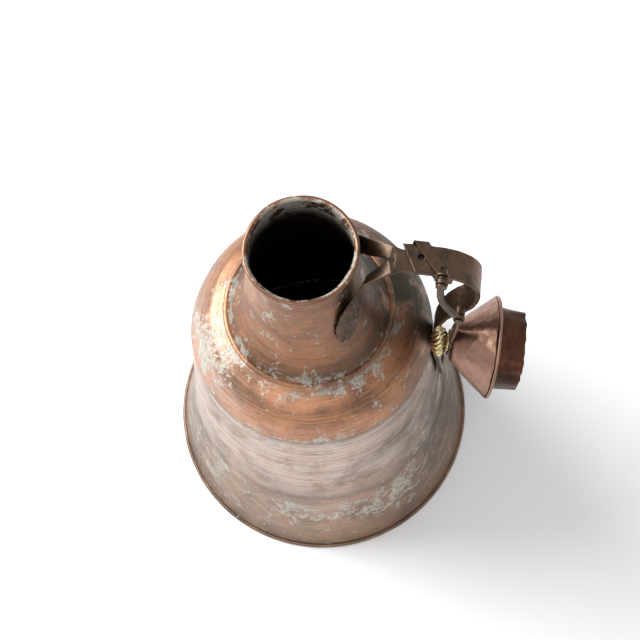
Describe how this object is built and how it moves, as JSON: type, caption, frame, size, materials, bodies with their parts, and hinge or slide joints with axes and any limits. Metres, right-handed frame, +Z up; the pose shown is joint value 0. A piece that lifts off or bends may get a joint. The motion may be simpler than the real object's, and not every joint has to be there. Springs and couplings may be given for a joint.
{
  "type": "copper water jug",
  "caption": "Flared copper water jug with a forked strap handle and a conical plug cap hung from the handle on a hinged link.",
  "frame": {"origin": "centre of the underside of the flat base", "axes": "+Z up along the jug's axis, +X towards the handle"},
  "size_m": [0.2465, 0.22, 0.3385],
  "materials": {
    "copper_body": "aged raised copper, dull, with greyish tin wash and mottled brown patina",
    "copper_shoulder": "scrubbed copper with fine ring scratches and grey-white residue",
    "copper_neck": "aged brown copper with pale specks, tinned inside",
    "copper_handle": "dark forged copper, oily patina, bright worn edges",
    "copper_cap": "hammered copper, satin, darker collar",
    "brass_knob": "cast yellow brass, worn bright",
    "iron_wire": "dark drawn wire"
  },
  "bodies": {
    "jug": {"base_plate": "copper_body", "foot_hem": "copper_body", "lower_body": "copper_body", "shoulder_dome": "copper_shoulder", "neck_seam": "copper_shoulder", "neck": "copper_neck", "rim_wire": "iron_wire", "handle_strap": "copper_handle", "leg_rivets": "copper_handle", "handle_fork": "copper_handle", "handle_clasp": "copper_handle", "pivot_rivet": "copper_handle"},
    "link": {"cap_link": "copper_handle", "link_pin": "iron_wire"},
    "cap": {"cap_cone": "copper_cap", "cap_rim_bead": "copper_cap", "cap_collar": "copper_cap", "cap_arm": "copper_handle", "knob": "brass_knob", "knob_rivet": "copper_cap", "rivet_washer": "copper_cap"}
  },
  "joints": [
    {"name": "link_swing", "type": "hinge", "parent": "jug", "child": "link", "pos_m": [0.0815, -0.014, 0.334], "axis": [-0.0854, -0.9929, 0.0834], "range_deg": [0, 213.5]},
    {"name": "cap_tilt", "type": "hinge", "parent": "link", "child": "cap", "pos_m": [0.0938, -0.0142, 0.28751], "axis": [-0.0854, -0.9929, 0.0834], "range_deg": [0, 62.8]}
  ],
  "couplings": [
    {"joint": "cap_tilt", "follows": "link_swing", "ratio": 0.29414}
  ]
}
